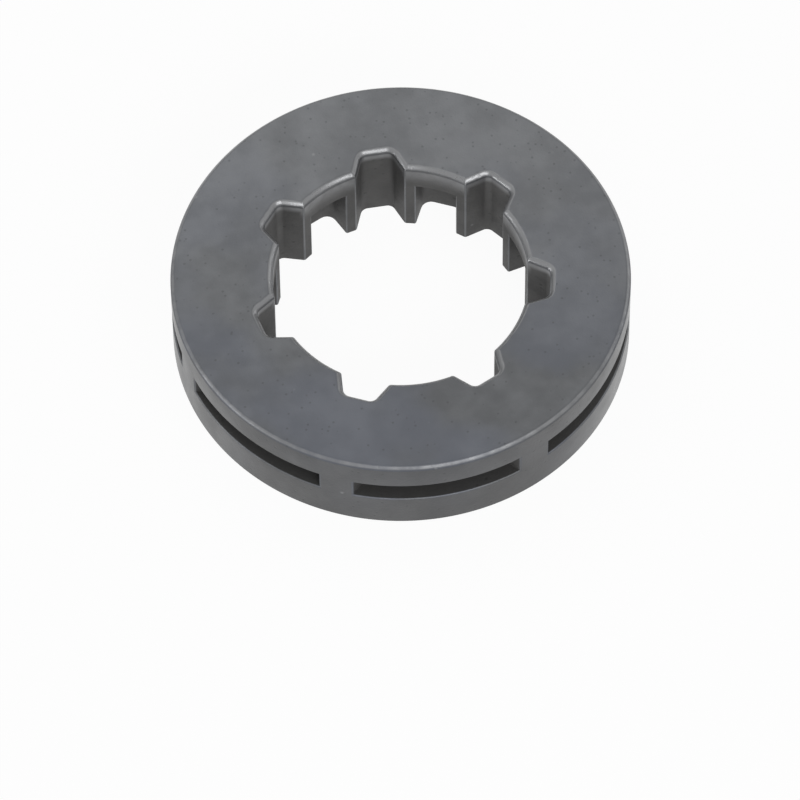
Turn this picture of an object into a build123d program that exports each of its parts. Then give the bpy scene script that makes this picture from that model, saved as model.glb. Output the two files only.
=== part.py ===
from build123d import *
import math
import os

# Floating rim sprocket of a chainsaw's clutch drum: one hardened steel piece.
# Two round plates are joined by drive teeth. The drive links of the saw chain run in
# the slot between the plates, and the splined bore slides on the drum's hub.
# Millimetres. +Z is the bore's axis, and the open lower face lies on Z = 0.

# Overall sizes
rim_diameter = 36.0
thickness = 8.0
tooth_count = 7

# Drive slot, between the closed upper plate and the open lower plate
upper_plate = 2.6
slot_height = 1.8
tooth_tip_width = 2.7
flank_corner_radius = 0.8

# Splined bore, with one groove behind each tooth
land_diameter = 20.0
groove_depth = 1.7
groove_mouth_width = 3.75
groove_root_width = 2.4
groove_root_radius = 0.6

# Chip cavities, one behind each pocket, from the lower face up to the slot's ceiling
cavity_width = 3.3
cavity_depth = 2.25
cavity_corner_radius = 0.8

# Broken edges
rim_chamfer = 0.4
lip_chamfer = 0.12
bore_chamfer = 0.5
cavity_chamfer = 0.2

# How far a cutting profile runs on into free space
overrun = 1.0

# Places that follow from the sizes
rim_radius = rim_diameter / 2
land_radius = land_diameter / 2
root_radius = land_radius + groove_depth
slot_ceiling = thickness - upper_plate
slot_floor = slot_ceiling - slot_height
cavity_end = land_radius + cavity_depth
bore_end = land_radius - overrun
half_pitch = 180 / tooth_count
tooth_angle = 90
pocket_angle = tooth_angle + half_pitch

# A tooth flank runs from the throat beside a cavity to the tooth's tip at the rim
pocket_half_angle = half_pitch - math.degrees(math.asin(tooth_tip_width / 2 / rim_radius))
flank_root = Vector(cavity_end - flank_corner_radius, cavity_width / 2)
flank_tip = Vector(rim_radius, 0).rotate(Axis.Z, pocket_half_angle)
flank_end = flank_tip + (flank_tip - flank_root).normalized() * overrun

# One spline groove along +X: splayed sides, and a flat root with rounded corners
side_slope = (groove_mouth_width - groove_root_width) / 2 / groove_depth
mouth_half_width = groove_mouth_width / 2 + side_slope * overrun
with BuildSketch() as groove:
    with BuildLine():
        Polyline(
            (bore_end, -mouth_half_width),
            (root_radius, -groove_root_width / 2),
            (root_radius, groove_root_width / 2),
            (bore_end, mouth_half_width),
            close=True,
        )
    make_face()
    fillet(groove.vertices().group_by(Axis.X)[-1], groove_root_radius)

# One drive pocket along +X: its flanks close in to a throat that opens into the bore
with BuildSketch() as pocket:
    with BuildLine():
        Polyline(
            (bore_end, 0),
            (bore_end, cavity_width / 2),
            (flank_root.X, flank_root.Y),
            (flank_end.X, flank_end.Y),
            (rim_radius + overrun, flank_end.Y),
            (rim_radius + overrun, 0),
            close=True,
        )
    make_face()
    mirror(about=Plane.XZ)
    fillet(pocket.vertices().group_by(Axis.X)[1], flank_corner_radius)

# One chip cavity along +X: straight sides into the bore, and a flat end with rounded corners
with BuildSketch() as cavity:
    with Locations((bore_end, 0)):
        Rectangle(cavity_end - bore_end, cavity_width, align=(Align.MIN, Align.CENTER))
    fillet(cavity.vertices().group_by(Axis.X)[-1], cavity_corner_radius)

with BuildPart() as rim_sprocket:
    # Blank ring, turned so that the seam of its round wall lies in a pocket
    with BuildSketch(Plane.XY.rotated((0, 0, pocket_angle))):
        Circle(rim_radius)
        Circle(land_radius, mode=Mode.SUBTRACT)
    extrude(amount=thickness)

    # Spline grooves, right through
    with BuildSketch():
        with PolarLocations(0, tooth_count, start_angle=tooth_angle):
            add(groove.sketch)
    extrude(amount=thickness, mode=Mode.SUBTRACT)

    # Drive pockets, which leave the teeth standing between the plates
    with BuildSketch(Plane.XY.offset(slot_floor)):
        with PolarLocations(0, tooth_count, start_angle=pocket_angle):
            add(pocket.sketch)
    extrude(amount=slot_height, mode=Mode.SUBTRACT)

    # Chip cavities, which leave a finger on each side of a groove
    with BuildSketch():
        with PolarLocations(0, tooth_count, start_angle=pocket_angle):
            add(cavity.sketch)
    extrude(amount=slot_ceiling, mode=Mode.SUBTRACT)

    # Lips of the windows round the rim
    rim_wall = rim_sprocket.faces().filter_by(GeomType.CYLINDER).sort_by(SortBy.AREA)[-1]
    lips = rim_wall.edges().filter_by_position(Axis.Z, slot_floor, slot_ceiling)
    chamfer(lips, lip_chamfer)

    # Edges of the upper face, then of the lower face
    upper_face = rim_sprocket.faces().sort_by(Axis.Z)[-1]
    chamfer(upper_face.outer_wire().edges(), rim_chamfer)
    upper_face = rim_sprocket.faces().sort_by(Axis.Z)[-1]
    chamfer(upper_face.inner_wires()[0].edges(), bore_chamfer)
    lower_face = rim_sprocket.faces().sort_by(Axis.Z)[0]
    chamfer(lower_face.outer_wire().edges(), rim_chamfer)
    lower_face = rim_sprocket.faces().sort_by(Axis.Z)[0]
    chamfer(lower_face.inner_wires()[0].edges(), cavity_chamfer)

os.makedirs("parts", exist_ok=True)
rim_sprocket.part.label = "rim_sprocket"
export_step(rim_sprocket.part, "parts/rim_sprocket.step")
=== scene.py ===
import math

import bmesh
import bpy
from bpy.props import FloatProperty, FloatVectorProperty, IntProperty, PointerProperty
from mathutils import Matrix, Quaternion, Vector


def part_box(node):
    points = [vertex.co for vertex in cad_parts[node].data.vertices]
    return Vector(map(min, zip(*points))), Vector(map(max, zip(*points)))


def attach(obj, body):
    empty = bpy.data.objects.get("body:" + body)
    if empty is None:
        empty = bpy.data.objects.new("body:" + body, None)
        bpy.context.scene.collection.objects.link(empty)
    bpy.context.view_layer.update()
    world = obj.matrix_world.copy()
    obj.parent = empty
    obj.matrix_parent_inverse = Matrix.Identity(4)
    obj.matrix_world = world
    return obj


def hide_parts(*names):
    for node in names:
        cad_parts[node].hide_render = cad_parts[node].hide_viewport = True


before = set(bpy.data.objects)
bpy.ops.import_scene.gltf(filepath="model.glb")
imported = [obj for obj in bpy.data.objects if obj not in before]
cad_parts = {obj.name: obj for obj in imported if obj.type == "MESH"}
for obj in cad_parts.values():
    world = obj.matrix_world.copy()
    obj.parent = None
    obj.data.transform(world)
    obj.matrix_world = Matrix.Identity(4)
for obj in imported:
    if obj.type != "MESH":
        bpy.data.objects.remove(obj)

bl_info = {
    "name": "Rim Sprocket",
    "version": (1, 0, 0),
    "blender": (4, 5, 0),
    "location": "View3D > Sidebar > Rim Sprocket",
    "description": "Models a chain rim with a splined bore, its dark steel finish and a pale studio",
    "category": "Object",
}

# Metres. +Z is the bore's axis, the open lower face lies on Z = 0, and a tooth stands on +Y.
MM = 0.001
NODE = "rim_sprocket"

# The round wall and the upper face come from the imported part
BOX_LOW, BOX_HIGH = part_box(NODE)
RIM_RADIUS = max(BOX_HIGH.x, BOX_HIGH.y, -BOX_LOW.x, -BOX_LOW.y)
THICKNESS = BOX_HIGH.z

# Steps of the round forms: the first two are multiples of the tooth count
WALL_STEPS = 308
LAND_STEPS = 168
CORNER_STEPS = 5
EDGE_STEPS = 3

# A broken edge is nearly a flat chamfer: a quarter is flat, and a half is round
EDGE_PROFILE = 0.33

# Points closer than the first are one point, and lengths closer than the second are the same
SAME_PLACE = 0.001 * MM
SAME_LEVEL = 0.01 * MM

# Faces that meet flatter than the first are one face, and flatter than the second they are shaded as one
SAME_FACE = math.radians(0.1)
SMOOTH_BELOW = math.radians(35)

# Edges sharper than this are broken
SHARP_EDGE = math.radians(25)

# A face whose normal rises less than this stands upright
UPRIGHT = 0.1

# The first tooth stands on +Y
TOOTH_TURN = math.pi / 2

# Wear stored on the bore's upper edge, the rim's edges, the other edges and the lands
WEAR_NAME = "edge_wear"
BORE_WEAR = 1.0
RIM_WEAR = 0.55
INNER_WEAR = 0.4
LAND_WEAR = 0.15

# Material slots of the rim: the last one only marks the rounded edges while it is modelled
FACE_SLOT = 0
WALL_SLOT = 1
RECESS_SLOT = 2
EDGE_SLOT = 3

# Grain of the sintered steel: its depth and detail, its pores against its grains, the core and rim of a
# pore in its cell, the chance from which a cell has a pore, and how deep and how dark the pores are
GRAIN_DEPTH = 0.03 * MM
GRAIN_DETAIL = 3.0
PORE_SCALE = 0.35
PORE_EDGE = (0.10, 0.24)
PORE_CHANCE = (0.45, 0.6)
PORE_DEPTH = 0.7
PORE_SHARE = 0.45
PORE_SHADE = 0.45

# Oxide clouds: large patches per metre and their step aside, fine ones against the large, their details,
# the share of the fine ones, the range that is kept and its strength, the tint of the darkest and palest
# tone, which the painted light and shade of one side also reach, and how much duller the dark tone and
# glossier the pale tone is
PATCHES = 140.0
CLOUD_STEP = (0.31, -0.18, -0.35)
FINE_SCALE = 5.0
CLOUD_DETAIL = 2.0
FINE_DETAIL = 4.0
FINE_SHARE = 0.4
CLOUD_RANGE = (0.32, 0.68)
CLOUD_SHARE = 0.5
DARK_OXIDE_AND_SHADE = 0.72
PALE_OXIDE_AND_LIGHT = 1.2
OXIDE_GLOSS = 0.07

# One side is painted paler and the other darker, as the light falls across the rim: the way to the paler
# side, how far from the middle the change goes on and how much paler it gets, then the blue patches,
# stronger towards the painted darker side: their scale against the large clouds, their step aside, the
# range that is kept and their most
PAINTED_PALER_SIDE = (0.30, 0.954, 0.0)
PAINTED_LIGHT_REACH = 18 * MM
PAINTED_LIGHT_SHARE = 0.5
BLUE_SCALE = 0.8
BLUE_STEP = (0.31, 0.17, 0.23)
BLUE_RANGE = (0.42, 0.64)
BLUE_MOST = 1.2

# Ragged wear: clouds per metre, their detail and the least of them, the wear at which bare steel shows and
# how softly it begins, and the polish of bare steel
RAGGED_SCALE = 1100.0
RAGGED_DETAIL = 4.0
RAGGED_LEAST = 0.5
WEAR_LIMIT = 1.25
WEAR_RANGE = (-0.25, 0.35)
BARE_POLISH = 0.18

# Knocks: cells per metre, the core and rim of a knock in its cell, the chance from which a cell has one,
# and how bare it is
KNOCK_SCALE = 420.0
KNOCK_EDGE = (0.03, 0.09)
KNOCK_CHANCE = (0.72, 0.8)
KNOCK_SHARE = 0.6

# Painted light at the top of the bore: the upper part of its wall is painted paler for the light that
# reaches it past the edge, and in a narrow band in the grooves as a painted highlight: between which
# heights the painted light sets in on the lands and in the grooves, between which distances from the axis
# the lands give way to the grooves, and its least share
LAND_PAINTED_LIGHT = (5.7 * MM, 7.5 * MM)
GROOVE_PAINTED_HIGHLIGHT = (6.75 * MM, 7.3 * MM)
LAND_REACH = (10.05 * MM, 10.4 * MM)
PAINTED_LIGHT_LEAST = 0.4

# A place that is multiplied by this loses its height
FLAT = (1.0, 1.0, 0.0)

# The colour sockets of Blender's mix node, which has sockets for each kind of data
MIX_FIRST = 6
MIX_SECOND = 7
MIX_RESULT = 2

# The steels: blue left by the heat, dullness beyond that of the ground faces, or less than nought where
# glossier, grains per metre, relief, and how much painted light the top of the bore gets
GROUND = {"heat": 0.5, "duller": 0.0, "fineness": 5200.0, "relief": 0.35, "painted_mouth_light": 0.0}
TURNED = {"heat": 0.1, "duller": -0.2, "fineness": 4800.0, "relief": 0.4, "painted_mouth_light": 0.0}
CAST = {"heat": 0.0, "duller": 0.12, "fineness": 3600.0, "relief": 0.6, "painted_mouth_light": 0.9}

# Side of the square photograph in pixels, and the distance from the camera at which drawing starts
IMAGE_SIDE = 800
NEAREST = 0.01

# The floor lies just under the part, so that the two never share a plane
FLOOR_GAP = 0.02 * MM

# Softboxes: turn to the right of the front, height, distance and size in metres, and power in watts
SOFTBOXES = {
    "front_softbox": {
        "turn": math.radians(14),
        "height": math.radians(36),
        "distance": 0.4,
        "width": 0.34,
        "depth": 0.12,
        "power": 0.8,
    },
    "back_softbox": {
        "turn": math.radians(198),
        "height": math.radians(58),
        "distance": 0.2,
        "width": 0.16,
        "depth": 0.16,
        "power": 0.1,
    },
    "left_softbox": {
        "turn": math.radians(-80),
        "height": math.radians(4),
        "distance": 0.4,
        "width": 0.25,
        "depth": 0.04,
        "power": 0.55,
    },
    "right_softbox": {
        "turn": math.radians(105),
        "height": math.radians(5),
        "distance": 0.4,
        "width": 0.25,
        "depth": 0.05,
        "power": 0.12,
    },
}


def length(name, description, default):
    """A length, shown in Blender's own units."""
    return FloatProperty(
        name=name,
        description=description,
        default=default,
        min=0.0,
        precision=5,
        subtype="DISTANCE",
        unit="LENGTH",
    )


def share(name, description, default):
    """A share from none to all."""
    return FloatProperty(
        name=name,
        description=description,
        default=default,
        min=0.0,
        max=1.0,
        subtype="FACTOR",
    )


def colour(name, description, default):
    """A surface colour, in linear light."""
    return FloatVectorProperty(
        name=name,
        description=description,
        default=default,
        size=3,
        min=0.0,
        max=1.0,
        subtype="COLOR",
    )


class RimSizes(bpy.types.PropertyGroup):
    """Sizes of the rim sprocket."""

    rim_radius: length("Rim radius", "Radius of the round outer wall", RIM_RADIUS)
    thickness: length("Thickness", "Height of the whole rim", THICKNESS)
    tooth_count: IntProperty(
        name="Teeth",
        description="Drive teeth, each with a spline groove behind it",
        default=7,
        min=3,
    )
    upper_plate: length("Upper plate", "Thickness of the closed upper plate", 2.6 * MM)
    slot_height: length("Slot height", "Height of the drive slot between the plates", 1.8 * MM)
    tooth_tip_width: length("Tooth tip width", "Width of a tooth at the rim", 2.7 * MM)
    land_radius: length("Land radius", "Radius of the bore between its grooves", 10.0 * MM)
    groove_depth: length("Groove depth", "Depth of a spline groove below the lands", 1.7 * MM)
    groove_mouth_width: length("Groove mouth", "Width of a groove where it meets the lands", 3.75 * MM)
    groove_root_width: length("Groove root", "Width of a groove at its root", 2.4 * MM)
    groove_root_radius: length("Groove root radius", "Rounding of a groove's root corners", 0.6 * MM)
    cavity_width: length("Cavity width", "Width of a chip cavity", 3.3 * MM)
    cavity_depth: length("Cavity depth", "Depth of a chip cavity behind the lands", 2.25 * MM)
    cavity_corner: length("Cavity corner", "Rounding of a cavity's end corners", 0.8 * MM)
    flank_setback: length("Flank setback", "Distance from a cavity's end back to its flanks", 0.8 * MM)
    rim_edge: length("Rim edge", "Rounding of the rim's upper and lower edges", 0.4 * MM)
    bore_edge: length("Bore edge", "Rounding of the bore's upper edge", 0.5 * MM)
    cavity_edge: length("Cavity edge", "Rounding of the bore's lower edge", 0.2 * MM)
    lip_edge: length("Lip edge", "Rounding of the windows' lips", 0.12 * MM)
    inner_edge: length("Inner edge", "Rounding of the corners inside the bore", 0.1 * MM)
    overrun: length("Overrun", "How far a cutter runs on into free space", 1.0 * MM)


class SteelFinish(bpy.types.PropertyGroup):
    """Colours and wear of the dark steel."""

    face_colour: colour("Ground face", "Dark grey of the ground faces", (0.118, 0.122, 0.128))
    wall_colour: colour("Turned wall", "Plain grey of the round wall", (0.095, 0.096, 0.098))
    # Painted shade: the recesses get a darker grey than the faces, partly for their cast finish and partly
    # standing for the shade in them
    recess_colour: colour("Cast recess", "Darker grey of the cast recesses", (0.081, 0.080, 0.079))
    heat_colour: colour("Heat tint", "Blue grey left by hardening", (0.104, 0.113, 0.138))
    # This pale steel serves both the worn edges and the painted light on the upper wall of the bore
    worn_colour: colour("Worn edge", "Pale steel of rubbed edges", (0.215, 0.218, 0.224))
    wear: share("Wear", "How far the edges are rubbed bare", 0.75)
    metallic: share("Metal", "How much the oxide lets the metal show", 0.45)
    roughness: share("Roughness", "Roughness of the ground faces", 0.5)


class StageSettings(bpy.types.PropertyGroup):
    """View, floor and studio light."""

    view_turn: FloatProperty(
        name="View turn",
        description="How far the camera stands to the right of the front",
        default=math.radians(-9.02),
        subtype="ANGLE",
        unit="ROTATION",
    )
    view_height: FloatProperty(
        name="View height",
        description="Angle of the camera above the floor",
        default=math.radians(56.76),
        subtype="ANGLE",
        unit="ROTATION",
    )
    view_roll: FloatProperty(
        name="View roll",
        description="How far the rim is turned anticlockwise in the image",
        default=math.radians(0.62),
        subtype="ANGLE",
        unit="ROTATION",
    )
    view_distance: length("View distance", "Distance from the camera to the rim", 0.6)
    pixels_per_metre: FloatProperty(
        name="Image scale",
        description="Pixels in the image for one metre at the rim",
        default=12729.0,
        min=1.0,
    )
    seen_right: FloatProperty(
        name="Seen across",
        description="Pixels from the image's left side to the rim's centre",
        default=400.9,
    )
    seen_down: FloatProperty(
        name="Seen down",
        description="Pixels from the image's top to the rim's centre",
        default=301.8,
    )
    floor_side: length("Floor side", "Side of the square floor", 4.0)
    floor_colour: colour("Floor", "Colour of the pale floor", (0.88, 0.88, 0.88))
    floor_glow: share("Floor glow", "How far the floor is white whatever falls on it", 0.95)
    fill_strength: FloatProperty(
        name="Fill",
        description="Strength of the even light from all round",
        default=0.28,
        min=0.0,
    )


# Shader nodes


def add_node(tree, kind, **values):
    node = tree.nodes.new(kind)
    for name, value in values.items():
        setattr(node, name, value)
    return node


def feed(tree, source, socket):
    """Sets a socket to a plain number, or links it to another socket."""
    if isinstance(source, (int, float)):
        socket.default_value = source
    else:
        tree.links.new(source, socket)


def reckon(tree, operation, first, second):
    node = add_node(tree, "ShaderNodeMath", operation=operation)
    feed(tree, first, node.inputs[0])
    feed(tree, second, node.inputs[1])
    return node.outputs[0]


def fade(tree, value, start, end, low=0.0, high=1.0):
    """Goes smoothly from low to high while value goes from start to end."""
    node = add_node(tree, "ShaderNodeMapRange", interpolation_type="SMOOTHSTEP")
    feed(tree, value, node.inputs["Value"])
    feed(tree, start, node.inputs["From Min"])
    feed(tree, end, node.inputs["From Max"])
    feed(tree, low, node.inputs["To Min"])
    feed(tree, high, node.inputs["To Max"])
    return node.outputs[0]


def clouds(tree, place, scale, detail):
    node = add_node(tree, "ShaderNodeTexNoise")
    tree.links.new(place, node.inputs["Vector"])
    feed(tree, scale, node.inputs["Scale"])
    node.inputs["Detail"].default_value = detail
    return node.outputs["Fac"]


def cells(tree, place, scale):
    """Distance from the nearest of many scattered points, and a chance number for that point."""
    node = add_node(tree, "ShaderNodeTexVoronoi")
    tree.links.new(place, node.inputs["Vector"])
    feed(tree, scale, node.inputs["Scale"])
    split = add_node(tree, "ShaderNodeSeparateColor")
    tree.links.new(node.outputs["Color"], split.inputs[0])
    return node.outputs["Distance"], split.outputs[0]


def moved(tree, place, step):
    node = add_node(tree, "ShaderNodeVectorMath", operation="ADD")
    tree.links.new(place, node.inputs[0])
    node.inputs[1].default_value = step
    return node.outputs[0]


def height_and_reach(tree, place):
    """Height above the lower face, and distance from the bore's axis."""
    split = add_node(tree, "ShaderNodeSeparateXYZ")
    tree.links.new(place, split.inputs[0])
    flat = add_node(tree, "ShaderNodeVectorMath", operation="MULTIPLY")
    tree.links.new(place, flat.inputs[0])
    flat.inputs[1].default_value = FLAT
    span = add_node(tree, "ShaderNodeVectorMath", operation="LENGTH")
    tree.links.new(flat.outputs[0], span.inputs[0])
    return split.outputs["Z"], span.outputs["Value"]


def blend(tree, amount, first, second):
    """Mixes two colours, each a socket or three plain numbers."""
    node = add_node(tree, "ShaderNodeMix", data_type="RGBA")
    feed(tree, amount, node.inputs[0])
    for colour_in, socket in ((first, node.inputs[MIX_FIRST]), (second, node.inputs[MIX_SECOND])):
        if isinstance(colour_in, bpy.types.NodeSocket):
            tree.links.new(colour_in, socket)
        else:
            socket.default_value = (*colour_in, 1)
    return node.outputs[MIX_RESULT]


def shade(tint, level):
    """A colour made darker or paler by a level about one."""
    return tuple(channel * level for channel in tint)


def new_group(name, inputs, outputs):
    """An empty shader group with its sockets, its input node and its output node."""
    tree = bpy.data.node_groups.new(name, "ShaderNodeTree")
    for socket, kind in inputs:
        tree.interface.new_socket(socket, in_out="INPUT", socket_type=kind)
    for socket in outputs:
        tree.interface.new_socket(socket, in_out="OUTPUT", socket_type="NodeSocketFloat")
    return tree, add_node(tree, "NodeGroupInput"), add_node(tree, "NodeGroupOutput")


def sintered_grain():
    """Fine grain of pressed and sintered steel, with scattered pores."""
    inputs = (("Place", "NodeSocketVector"), ("Fineness", "NodeSocketFloat"))
    tree, given, made = new_group("sintered_grain", inputs, ("Height", "Pores"))
    place, fineness = given.outputs["Place"], given.outputs["Fineness"]
    grain = clouds(tree, place, fineness, GRAIN_DETAIL)
    distance, chance = cells(tree, place, reckon(tree, "MULTIPLY", fineness, PORE_SCALE))
    hole = fade(tree, distance, *PORE_EDGE, 1.0, 0.0)
    pores = reckon(tree, "MULTIPLY", hole, fade(tree, chance, *PORE_CHANCE))
    height = reckon(tree, "SUBTRACT", grain, reckon(tree, "MULTIPLY", pores, PORE_DEPTH))
    tree.links.new(height, made.inputs["Height"])
    tree.links.new(pores, made.inputs["Pores"])
    return tree


def mottle_and_painted_light():
    """Oxide clouds and blue grey patches left by hardening, with painted light: paler towards one side of
    the rim, darker towards the other.
    """
    inputs = (("Place", "NodeSocketVector"), ("Patches", "NodeSocketFloat"))
    tree, given, made = new_group("mottle_and_painted_light", inputs, ("Clouds", "Blue"))
    place, patches = given.outputs["Place"], given.outputs["Patches"]
    large = clouds(tree, moved(tree, place, CLOUD_STEP), patches, CLOUD_DETAIL)
    fine = clouds(tree, place, reckon(tree, "MULTIPLY", patches, FINE_SCALE), FINE_DETAIL)
    large_part = reckon(tree, "MULTIPLY", large, 1 - FINE_SHARE)
    both = reckon(tree, "ADD", large_part, reckon(tree, "MULTIPLY", fine, FINE_SHARE))
    mottle = reckon(tree, "MULTIPLY", fade(tree, both, *CLOUD_RANGE), CLOUD_SHARE)
    across = add_node(tree, "ShaderNodeVectorMath", operation="DOT_PRODUCT")
    tree.links.new(place, across.inputs[0])
    across.inputs[1].default_value = PAINTED_PALER_SIDE
    # Painted light and shade: the colour grows paler towards one side of the rim and darker towards the
    # other
    painted_paleness = fade(tree, across.outputs["Value"], -PAINTED_LIGHT_REACH, PAINTED_LIGHT_REACH)
    paler = reckon(tree, "MULTIPLY", painted_paleness, PAINTED_LIGHT_SHARE)
    tree.links.new(reckon(tree, "ADD", mottle, paler), made.inputs["Clouds"])
    blue_scale = reckon(tree, "MULTIPLY", patches, BLUE_SCALE)
    blue = fade(tree, clouds(tree, moved(tree, place, BLUE_STEP), blue_scale, CLOUD_DETAIL), *BLUE_RANGE)
    # The blue patches grow stronger towards the painted darker side
    toward_darker_side = reckon(tree, "SUBTRACT", BLUE_MOST, painted_paleness)
    tree.links.new(reckon(tree, "MULTIPLY", blue, toward_darker_side), made.inputs["Blue"])
    return tree


def wear_and_painted_light():
    """Bare steel on rubbed edges and a few knocks on the faces, and painted light on the upper wall of the
    bore.
    """
    inputs = (
        ("Place", "NodeSocketVector"),
        ("Edge", "NodeSocketFloat"),
        ("Wear", "NodeSocketFloat"),
    )
    tree, given, made = new_group("wear_and_painted_light", inputs, ("Bare", "Painted_light"))
    place = given.outputs["Place"]
    ragged = clouds(tree, place, RAGGED_SCALE, RAGGED_DETAIL)
    limit = reckon(tree, "SUBTRACT", WEAR_LIMIT, given.outputs["Wear"])
    rubbed = reckon(tree, "MULTIPLY", given.outputs["Edge"], reckon(tree, "ADD", ragged, RAGGED_LEAST))
    edges = fade(tree, reckon(tree, "SUBTRACT", rubbed, limit), *WEAR_RANGE)
    distance, chance = cells(tree, place, KNOCK_SCALE)
    spot = fade(tree, distance, *KNOCK_EDGE, 1.0, 0.0)
    knocks = reckon(tree, "MULTIPLY", spot, fade(tree, chance, *KNOCK_CHANCE))
    bare_knocks = reckon(tree, "MULTIPLY", knocks, KNOCK_SHARE)
    tree.links.new(reckon(tree, "MAXIMUM", edges, bare_knocks), made.inputs["Bare"])

    # Painted light: the upper wall of the bore is made paler, most on the lands, and as a narrow painted
    # highlight in the grooves
    height, from_axis = height_and_reach(tree, place)
    on_land = fade(tree, from_axis, *LAND_REACH, 1.0, 0.0)
    land_painted_light = reckon(tree, "MULTIPLY", fade(tree, height, *LAND_PAINTED_LIGHT), on_land)
    painted_mouth_light = reckon(tree, "MAXIMUM", land_painted_light, fade(tree, height, *GROOVE_PAINTED_HIGHLIGHT))
    uneven = reckon(tree, "ADD", ragged, PAINTED_LIGHT_LEAST)
    tree.links.new(reckon(tree, "MULTIPLY", painted_mouth_light, uneven), made.inputs["Painted_light"])
    return tree


def place_group(tree, group, place, **values):
    node = add_node(tree, "ShaderNodeGroup", node_tree=group)
    tree.links.new(place, node.inputs["Place"])
    for name, value in values.items():
        feed(tree, value, node.inputs[name])
    return node


def shared_group(make):
    """The group that make builds, built only once."""
    return bpy.data.node_groups.get(make.__name__) or make()


def steel(name, finish, tint, heat, duller, fineness, relief, painted_mouth_light):
    """Dark oxide-coated steel, from the shared grain, mottle and wear, with painted light and shade."""
    material = bpy.data.materials.new(name)
    material.use_nodes = True
    tree = material.node_tree
    shader = tree.nodes["Principled BSDF"]
    place = add_node(tree, "ShaderNodeTexCoord").outputs["Object"]
    edge = add_node(tree, "ShaderNodeAttribute", attribute_name=WEAR_NAME).outputs["Fac"]
    grain = place_group(tree, shared_group(sintered_grain), place, Fineness=fineness)
    mottle = place_group(tree, shared_group(mottle_and_painted_light), place, Patches=PATCHES)
    rubbed = place_group(tree, shared_group(wear_and_painted_light), place, Edge=edge, Wear=finish.wear)
    mottle_and_light_out, blue_out = mottle.outputs["Clouds"], mottle.outputs["Blue"]
    pores_out = grain.outputs["Pores"]
    # The painted light at the top of the bore takes the pale steel of the worn edges
    painted_light_out = reckon(tree, "MULTIPLY", rubbed.outputs["Painted_light"], painted_mouth_light)
    bare_and_painted_light = reckon(tree, "MAXIMUM", rubbed.outputs["Bare"], painted_light_out)

    # The oxide colour also carries the painted light and shade across the rim
    oxide = blend(tree, mottle_and_light_out, shade(tint, DARK_OXIDE_AND_SHADE), shade(tint, PALE_OXIDE_AND_LIGHT))
    oxide = blend(tree, reckon(tree, "MULTIPLY", blue_out, heat), oxide, finish.heat_colour)
    oxide = blend(tree, reckon(tree, "MULTIPLY", pores_out, PORE_SHARE), oxide, shade(tint, PORE_SHADE))
    tree.links.new(blend(tree, bare_and_painted_light, oxide, finish.worn_colour), shader.inputs["Base Color"])

    roughness = finish.roughness + duller
    dull = fade(tree, mottle_and_light_out, 0.0, 1.0, roughness + OXIDE_GLOSS, roughness - OXIDE_GLOSS)
    polish = reckon(tree, "MULTIPLY", bare_and_painted_light, BARE_POLISH)
    tree.links.new(reckon(tree, "SUBTRACT", dull, polish), shader.inputs["Roughness"])

    bump = add_node(tree, "ShaderNodeBump")
    bump.inputs["Strength"].default_value = relief
    bump.inputs["Distance"].default_value = GRAIN_DEPTH
    tree.links.new(grain.outputs["Height"], bump.inputs["Height"])
    tree.links.new(bump.outputs["Normal"], shader.inputs["Normal"])
    shader.inputs["Metallic"].default_value = finish.metallic
    return material


# Selecting and placing


def deselect_all():
    if bpy.context.mode != "OBJECT":
        bpy.ops.object.mode_set(mode="OBJECT")
    bpy.ops.object.select_all(action="DESELECT")


def pick(piece):
    deselect_all()
    piece.select_set(True)
    bpy.context.view_layer.objects.active = piece


def edit(piece, mode):
    pick(piece)
    bpy.ops.object.mode_set(mode="EDIT")
    bpy.ops.mesh.select_mode(type=mode)


def pick_edges(piece, wanted):
    """In edit mode, selects just the edges for which wanted(edge) is true."""
    bpy.ops.mesh.select_all(action="DESELECT")
    mesh = bmesh.from_edit_mesh(piece.data)
    for edge in mesh.edges:
        if wanted(edge):
            edge.select_set(True)
    bmesh.update_edit_mesh(piece.data)


def near(a, b):
    return abs(a - b) < SAME_LEVEL


def reach(place):
    """Distance of a place from the bore's axis."""
    return math.hypot(place.x, place.y)


# Places that follow from the sizes


def slot_ceiling(sizes):
    return sizes.thickness - sizes.upper_plate


def slot_floor(sizes):
    return slot_ceiling(sizes) - sizes.slot_height


def groove_corner(sizes):
    """How far a root corner's rounding reaches along the root."""
    splay = math.atan2((sizes.groove_mouth_width - sizes.groove_root_width) / 2, sizes.groove_depth)
    return sizes.groove_root_radius * math.tan((math.pi / 2 - splay) / 2)


def flank_root(sizes):
    """Where a flank meets its cavity's side, as X and Y."""
    cavity_end = sizes.land_radius + sizes.cavity_depth
    return cavity_end - sizes.flank_setback, sizes.cavity_width / 2


def flank_tip(sizes):
    """Where a flank meets the round wall, as X and Y."""
    half_tooth = math.asin(sizes.tooth_tip_width / 2 / sizes.rim_radius)
    turn = math.pi / sizes.tooth_count - half_tooth
    return sizes.rim_radius * math.cos(turn), sizes.rim_radius * math.sin(turn)


# Cutters, each drawn out along +X


def upright_cylinder(name, radius, low, high, steps):
    deselect_all()
    bpy.ops.mesh.primitive_cylinder_add(
        vertices=steps,
        radius=radius,
        depth=high - low,
        location=(0, 0, (low + high) / 2),
    )
    piece = bpy.context.object
    piece.name = name
    bpy.ops.object.transform_apply(location=True, rotation=True, scale=True)
    return piece


def upright_sheet(name, x, width, low, high):
    """A flat face square to X, the start of a cutter."""
    deselect_all()
    bpy.ops.mesh.primitive_plane_add(
        size=1,
        location=(x, 0, (low + high) / 2),
        rotation=(0, math.pi / 2, 0),
    )
    piece = bpy.context.object
    piece.name = name
    piece.scale = (high - low, width, 1)
    bpy.ops.object.transform_apply(location=True, rotation=True, scale=True)
    return piece


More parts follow.
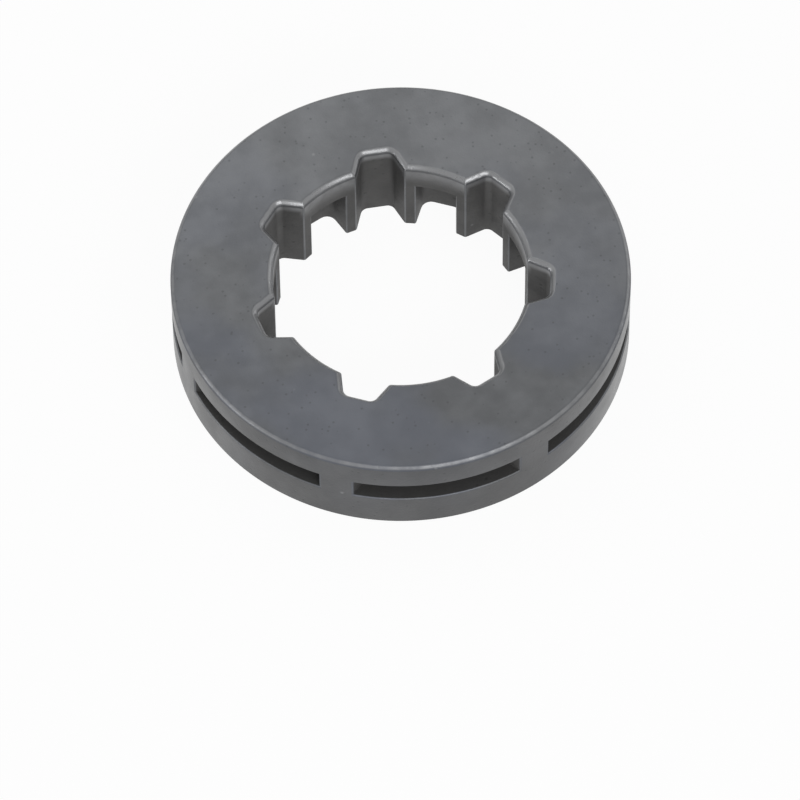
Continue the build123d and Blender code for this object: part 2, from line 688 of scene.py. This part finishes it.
def draw_out(step, widen):
    """Draws the selected face out along X, then widens it about the X axis."""
    bpy.ops.mesh.extrude_region_move(TRANSFORM_OT_translate={"value": (step, 0, 0)})
    bpy.ops.transform.resize(value=(1, widen, 1), center_override=(0, 0, 0))


def face_outwards():
    bpy.ops.mesh.select_all(action="SELECT")
    bpy.ops.mesh.normals_make_consistent(inside=False)
    bpy.ops.object.mode_set(mode="OBJECT")


def is_upright_at(edge, x):
    first, last = edge.verts
    upright = not near(first.co.z, last.co.z)
    return upright and near(first.co.x, x) and near(last.co.x, x)


def round_end_corners(cutter, x, reach_back):
    """Rounds the two upright edges at a cutter's end."""
    bpy.ops.mesh.select_mode(type="EDGE")
    pick_edges(cutter, lambda edge: is_upright_at(edge, x))
    bpy.ops.mesh.bevel(offset=reach_back, segments=CORNER_STEPS, affect="EDGES")


def groove_cutter(sizes):
    """Splayed sides, and a flat root with rounded corners."""
    start = sizes.land_radius - sizes.overrun
    root = sizes.land_radius + sizes.groove_depth
    slope = (sizes.groove_mouth_width - sizes.groove_root_width) / sizes.groove_depth
    start_width = sizes.groove_mouth_width + slope * sizes.overrun
    cutter = upright_sheet("groove", start, start_width, -sizes.overrun, sizes.thickness + sizes.overrun)
    edit(cutter, "FACE")
    bpy.ops.mesh.select_all(action="SELECT")
    draw_out(root - start, sizes.groove_root_width / start_width)
    round_end_corners(cutter, root, groove_corner(sizes))
    face_outwards()
    return cutter


def cavity_cutter(sizes):
    """Straight sides, and a flat end with rounded corners."""
    start = sizes.land_radius - sizes.overrun
    end = sizes.land_radius + sizes.cavity_depth
    cutter = upright_sheet("cavity", start, sizes.cavity_width, -sizes.overrun, slot_ceiling(sizes))
    edit(cutter, "FACE")
    bpy.ops.mesh.select_all(action="SELECT")
    draw_out(end - start, 1)
    round_end_corners(cutter, end, sizes.cavity_corner)
    face_outwards()
    return cutter


def pocket_cutter(sizes):
    """Two flanks that widen from a cavity to the teeth at the rim."""
    flank_x, flank_y = flank_root(sizes)
    tip_x, tip_y = flank_tip(sizes)
    slope = (tip_y - flank_y) / (tip_x - flank_x)
    # The cutter starts inside the cavity, half way from the flanks' roots to where they would meet
    start_x = flank_x - flank_y / slope / 2
    start_y = flank_y / 2
    end_x = sizes.rim_radius + sizes.overrun
    end_y = tip_y + slope * (end_x - tip_x)
    cutter = upright_sheet("pocket", start_x, 2 * start_y, slot_floor(sizes), slot_ceiling(sizes))
    edit(cutter, "FACE")
    bpy.ops.mesh.select_all(action="SELECT")
    draw_out(end_x - start_x, end_y / start_y)
    face_outwards()
    return cutter


def ring_of(cutter, count, first_turn):
    """One cutter becomes a ring of them, joined as one object."""
    ring = []
    for place in range(count):
        copy = cutter.copy()
        copy.data = cutter.data.copy()
        bpy.context.scene.collection.objects.link(copy)
        copy.rotation_euler.z = first_turn + place * math.tau / count
        pick(copy)
        bpy.ops.object.transform_apply(location=True, rotation=True, scale=True)
        ring.append(copy)
    bpy.data.objects.remove(cutter)
    deselect_all()
    for copy in ring:
        copy.select_set(True)
    bpy.context.view_layer.objects.active = ring[0]
    bpy.ops.object.join()
    return ring[0]


def cut_away(piece, cutter):
    pick(piece)
    bpy.ops.object.modifier_add(type="BOOLEAN")
    cut = piece.modifiers[-1]
    cut.operation = "DIFFERENCE"
    cut.solver = "EXACT"
    cut.object = cutter
    bpy.ops.object.modifier_apply(modifier=cut.name)
    bpy.data.objects.remove(cutter)


# The rim


def model_rim(sizes):
    low = -sizes.overrun
    high = sizes.thickness + sizes.overrun
    pocket_turn = TOOTH_TURN + math.pi / sizes.tooth_count
    rim = upright_cylinder("rim", sizes.rim_radius, 0, sizes.thickness, WALL_STEPS)
    cut_away(rim, upright_cylinder("lands", sizes.land_radius, low, high, LAND_STEPS))
    cut_away(rim, ring_of(groove_cutter(sizes), sizes.tooth_count, TOOTH_TURN))
    cut_away(rim, ring_of(cavity_cutter(sizes), sizes.tooth_count, pocket_turn))
    cut_away(rim, ring_of(pocket_cutter(sizes), sizes.tooth_count, pocket_turn))
    edit(rim, "EDGE")
    bpy.ops.mesh.select_all(action="SELECT")
    bpy.ops.mesh.remove_doubles(threshold=SAME_PLACE)
    bpy.ops.mesh.dissolve_limited(angle_limit=SAME_FACE)
    bpy.ops.object.mode_set(mode="OBJECT")
    return rim


def edge_groups(sizes):
    """Pairs of a rounding and the test that finds its edges."""

    def sharp(edge):
        return edge.is_manifold and edge.is_convex and edge.calc_face_angle() > SHARP_EDGE

    def at_height(edge, height):
        return all(near(point.co.z, height) for point in edge.verts)

    def on_wall(edge):
        return all(near(reach(point.co), sizes.rim_radius) for point in edge.verts)

    def outer(edge):
        flat = at_height(edge, 0) or at_height(edge, sizes.thickness)
        return sharp(edge) and on_wall(edge) and flat

    def lip(edge):
        return sharp(edge) and on_wall(edge) and not outer(edge)

    def bore_top(edge):
        return sharp(edge) and at_height(edge, sizes.thickness) and not on_wall(edge)

    def bore_bottom(edge):
        return sharp(edge) and at_height(edge, 0) and not on_wall(edge)

    def on_land(edge):
        return all(near(reach(point.co), sizes.land_radius) for point in edge.verts)

    def inner(edge):
        return sharp(edge) and on_land(edge) and not (bore_top(edge) or bore_bottom(edge))

    return (
        (sizes.rim_edge, outer),
        (sizes.lip_edge, lip),
        (sizes.bore_edge, bore_top),
        (sizes.cavity_edge, bore_bottom),
        (sizes.inner_edge, inner),
    )


def break_edges(rim, sizes):
    """Rounds each sharp edge by its own width, in one bevel."""
    widest = max(sizes.rim_edge, sizes.bore_edge, sizes.cavity_edge, sizes.lip_edge, sizes.inner_edge)
    edit(rim, "EDGE")
    for width, wanted in edge_groups(sizes):
        pick_edges(rim, wanted)
        bpy.ops.transform.edge_bevelweight(value=width / widest)
    bpy.ops.object.mode_set(mode="OBJECT")
    bpy.ops.object.modifier_add(type="BEVEL")
    bevel = rim.modifiers[-1]
    bevel.limit_method = "WEIGHT"
    bevel.width = widest
    bevel.segments = EDGE_STEPS
    bevel.profile = EDGE_PROFILE
    bevel.use_clamp_overlap = False
    bevel.material = EDGE_SLOT
    bpy.ops.object.modifier_apply(modifier=bevel.name)
    edit(rim, "VERT")
    bpy.ops.mesh.select_all(action="SELECT")
    bpy.ops.mesh.remove_doubles(threshold=SAME_PLACE)
    bpy.ops.object.mode_set(mode="OBJECT")


def is_land(face, sizes):
    """Whether a face is part of the round lands that slide on the hub."""
    upright = abs(face.normal.z) < UPRIGHT
    return upright and reach(face.center) < sizes.land_radius + SAME_PLACE


def edge_wear(point, sizes):
    """How far a point of a broken edge is rubbed: most at the bore's upper edge, then at the rim."""
    above = point.co.z > sizes.thickness - sizes.bore_edge
    below = point.co.z < sizes.rim_edge
    if above and reach(point.co) < sizes.rim_radius - sizes.bore_edge:
        return BORE_WEAR
    if reach(point.co) > sizes.rim_radius - sizes.rim_edge and (above or below):
        return RIM_WEAR
    return INNER_WEAR


def mark_wear(rim, sizes):
    """Stores the wear of the broken edges and the lands, and nought on the other faces."""
    wear = rim.data.attributes.new(WEAR_NAME, "FLOAT", "POINT")
    worn = [edge_wear(point, sizes) for point in rim.data.vertices]
    for face in rim.data.polygons:
        if face.material_index != EDGE_SLOT:
            for point in face.vertices:
                worn[point] = LAND_WEAR if is_land(face, sizes) else 0.0
    wear.data.foreach_set("value", worn)


def part_faces(rim, sizes):
    """Ground steel on the level faces and all edges, turned steel on the wall, and cast steel with painted
    shade inside.
    """
    for face in rim.data.polygons:
        level = near(face.center.z, 0) or near(face.center.z, sizes.thickness)
        outer_wall = near(reach(face.center), sizes.rim_radius)
        if level or face.material_index == EDGE_SLOT:
            face.material_index = FACE_SLOT
        elif outer_wall:
            face.material_index = WALL_SLOT
        else:
            face.material_index = RECESS_SLOT


def smooth_faces(rim):
    """Shades the rounded edges smoothly, and keeps the large faces flat."""
    pick(rim)
    bpy.ops.object.shade_smooth_by_angle(angle=SMOOTH_BELOW)
    bpy.ops.object.modifier_add(type="WEIGHTED_NORMAL")
    weighted = rim.modifiers[-1]
    weighted.keep_sharp = True
    bpy.ops.object.modifier_apply(modifier=weighted.name)


class RIMSPROCKET_OT_rim(bpy.types.Operator):
    """Model the rim sprocket in one piece and give it its dark steel"""

    bl_idname = "rimsprocket.rim"
    bl_label = "Rim sprocket"

    def execute(self, context):
        sizes = context.scene.rim_sizes
        finish = context.scene.rim_finish
        rim = model_rim(sizes)
        edge_mark = bpy.data.materials.new("edge_mark")
        rim.data.materials.append(steel("ground_steel", finish, finish.face_colour, **GROUND))
        rim.data.materials.append(steel("turned_steel", finish, finish.wall_colour, **TURNED))
        # Cast steel, darker partly as painted shade in the recesses, also carries the painted light at the
        # top of the bore
        rim.data.materials.append(steel("cast_steel_painted_shade_and_light", finish, finish.recess_colour, **CAST))
        rim.data.materials.append(edge_mark)
        break_edges(rim, sizes)
        mark_wear(rim, sizes)
        part_faces(rim, sizes)
        smooth_faces(rim)
        rim.data.materials.pop(index=EDGE_SLOT)
        bpy.data.materials.remove(edge_mark)
        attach(rim, "root")
        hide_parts(NODE)
        return {"FINISHED"}


# The stage


def direction(turn, height):
    """Unit vector away from the rim, at a turn to the right of the front and a height above the floor."""
    return Vector((
        math.sin(turn) * math.cos(height),
        -math.cos(turn) * math.cos(height),
        math.sin(height),
    ))


def view_frame(stage):
    """Unit vectors from the rim to the camera, to the image's right and to its top."""
    out = direction(stage.view_turn, stage.view_height)
    level = Vector((math.cos(stage.view_turn), math.sin(stage.view_turn), 0))
    right = Quaternion(out, -stage.view_roll) @ level
    return out, right, out.cross(right)


def add_camera(stage, centre):
    out, right, up = view_frame(stage)
    middle = IMAGE_SIDE / 2
    shift_right = right * (stage.seen_right - middle) / stage.pixels_per_metre
    shift_up = up * (middle - stage.seen_down) / stage.pixels_per_metre
    bpy.ops.object.camera_add(location=centre + out * stage.view_distance)
    camera = bpy.context.object
    aim = centre - shift_right - shift_up - camera.location
    turn = aim.to_track_quat("-Z", "Y").to_euler()
    turn.rotate_axis("Z", -stage.view_roll)
    camera.rotation_euler = turn
    camera.data.lens = stage.pixels_per_metre * stage.view_distance * camera.data.sensor_width / IMAGE_SIDE
    camera.data.clip_start = NEAREST
    bpy.context.scene.camera = camera


def add_softbox(name, centre, turn, height, distance, width, depth, power):
    """A broad lamp that faces the rim, level along its width."""
    way = direction(turn, height)
    bpy.ops.object.light_add(type="AREA", location=centre + way * distance)
    lamp = bpy.context.object
    lamp.name = name
    lamp.rotation_euler = (-way).to_track_quat("-Z", "Y").to_euler()
    lamp.data.shape = "RECTANGLE"
    lamp.data.size = width
    lamp.data.size_y = depth
    lamp.data.energy = power


def seen_directly(tree):
    """One for camera, glossy and transmission rays, nought for the rest."""
    path = add_node(tree, "ShaderNodeLightPath")
    either = reckon(tree, "MAXIMUM", path.outputs["Is Camera Ray"], path.outputs["Is Glossy Ray"])
    return reckon(tree, "MAXIMUM", either, path.outputs["Is Transmission Ray"])


def mix_shaders(tree, amount, first, second):
    node = add_node(tree, "ShaderNodeMixShader")
    tree.links.new(amount, node.inputs[0])
    tree.links.new(first.outputs[0], node.inputs[1])
    tree.links.new(second.outputs[0], node.inputs[2])
    return node


def floor_paint(stage):
    """Pale floor that shows white, keeps a faint shadow and is open to view from below."""
    material = bpy.data.materials.new("pale_floor")
    material.use_nodes = True
    tree = material.node_tree
    tree.nodes.clear()
    plain = add_node(tree, "ShaderNodeBsdfDiffuse")
    plain.inputs["Color"].default_value = (*stage.floor_colour, 1)
    white = add_node(tree, "ShaderNodeEmission")
    glow = reckon(tree, "MULTIPLY", seen_directly(tree), stage.floor_glow)
    above = mix_shaders(tree, glow, plain, white)
    clear = add_node(tree, "ShaderNodeBsdfTransparent")
    from_below = add_node(tree, "ShaderNodeNewGeometry").outputs["Backfacing"]
    floor = mix_shaders(tree, from_below, above, clear)
    output = add_node(tree, "ShaderNodeOutputMaterial")
    tree.links.new(floor.outputs[0], output.inputs["Surface"])
    return material


def light_world(stage):
    """Even white fill, and plain white where the background shows."""
    world = bpy.data.worlds.new("studio")
    world.use_nodes = True
    bpy.context.scene.world = world
    tree = world.node_tree
    background = tree.nodes["Background"]
    background.inputs["Color"].default_value = (1, 1, 1, 1)
    strength = add_node(tree, "ShaderNodeMapRange")
    strength.inputs["To Min"].default_value = stage.fill_strength
    strength.inputs["To Max"].default_value = 1.0
    tree.links.new(seen_directly(tree), strength.inputs["Value"])
    tree.links.new(strength.outputs[0], background.inputs["Strength"])


class RIMSPROCKET_OT_stage(bpy.types.Operator):
    """Set the pale floor, the soft studio light and the camera"""

    bl_idname = "rimsprocket.stage"
    bl_label = "Stage"

    def execute(self, context):
        stage = context.scene.rim_stage
        centre = Vector((0, 0, context.scene.rim_sizes.thickness / 2))
        deselect_all()
        bpy.ops.mesh.primitive_plane_add(size=stage.floor_side, location=(0, 0, -FLOOR_GAP))
        floor = context.object
        floor.name = "floor"
        floor.data.materials.append(floor_paint(stage))
        light_world(stage)
        for name, softbox in SOFTBOXES.items():
            add_softbox(name, centre, **softbox)
        add_camera(stage, centre)
        context.scene.view_settings.view_transform = "Standard"
        return {"FINISHED"}


class RIMSPROCKET_PT_tools(bpy.types.Panel):
    """Sizes, finish and operators in the sidebar"""

    bl_label = "Rim Sprocket"
    bl_idname = "RIMSPROCKET_PT_tools"
    bl_space_type = "VIEW_3D"
    bl_region_type = "UI"
    bl_category = "Rim Sprocket"

    def draw(self, context):
        for group in (context.scene.rim_sizes, context.scene.rim_finish, context.scene.rim_stage):
            box = self.layout.box()
            for name in group.__annotations__:
                box.prop(group, name)
        self.layout.operator(RIMSPROCKET_OT_rim.bl_idname)
        self.layout.operator(RIMSPROCKET_OT_stage.bl_idname)


CLASSES = (
    RimSizes,
    SteelFinish,
    StageSettings,
    RIMSPROCKET_OT_rim,
    RIMSPROCKET_OT_stage,
    RIMSPROCKET_PT_tools,
)


def register():
    for cls in CLASSES:
        bpy.utils.register_class(cls)
    bpy.types.Scene.rim_sizes = PointerProperty(type=RimSizes)
    bpy.types.Scene.rim_finish = PointerProperty(type=SteelFinish)
    bpy.types.Scene.rim_stage = PointerProperty(type=StageSettings)


def unregister():
    del bpy.types.Scene.rim_stage
    del bpy.types.Scene.rim_finish
    del bpy.types.Scene.rim_sizes
    for cls in reversed(CLASSES):
        bpy.utils.unregister_class(cls)


def main():
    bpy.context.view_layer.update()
    register()
    bpy.ops.rimsprocket.rim()
    bpy.ops.rimsprocket.stage()


if __name__ == "__main__":
    main()
